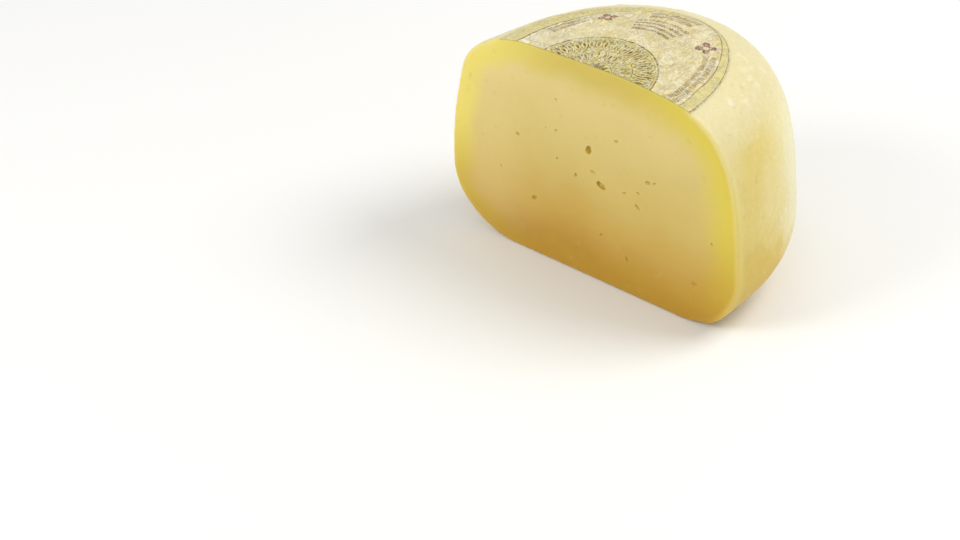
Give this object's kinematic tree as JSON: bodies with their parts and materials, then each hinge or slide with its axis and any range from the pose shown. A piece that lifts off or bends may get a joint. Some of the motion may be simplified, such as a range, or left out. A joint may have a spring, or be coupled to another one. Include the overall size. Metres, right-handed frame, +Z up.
{
  "type": "pecorino",
  "caption": "Half a wheel of pecorino with a pale yellow rind, standing on its flat base with its smooth cut face open and a plain printed round label on top.",
  "frame": {"origin": "middle of the bounding box, on the surface that the cheese stands on", "axes": "+X along the cut, -Y out of the cut face, +Z up"},
  "size_m": [0.1438, 0.086, 0.1009],
  "materials": {
    "cheese": "pale yellow paste, moist satin on the cut, drier cream rind",
    "label": "thin cream printed film, matt, lightly wrinkled"
  },
  "bodies": {
    "root": {"pecorino_half": "cheese"}
  },
  "joints": []
}
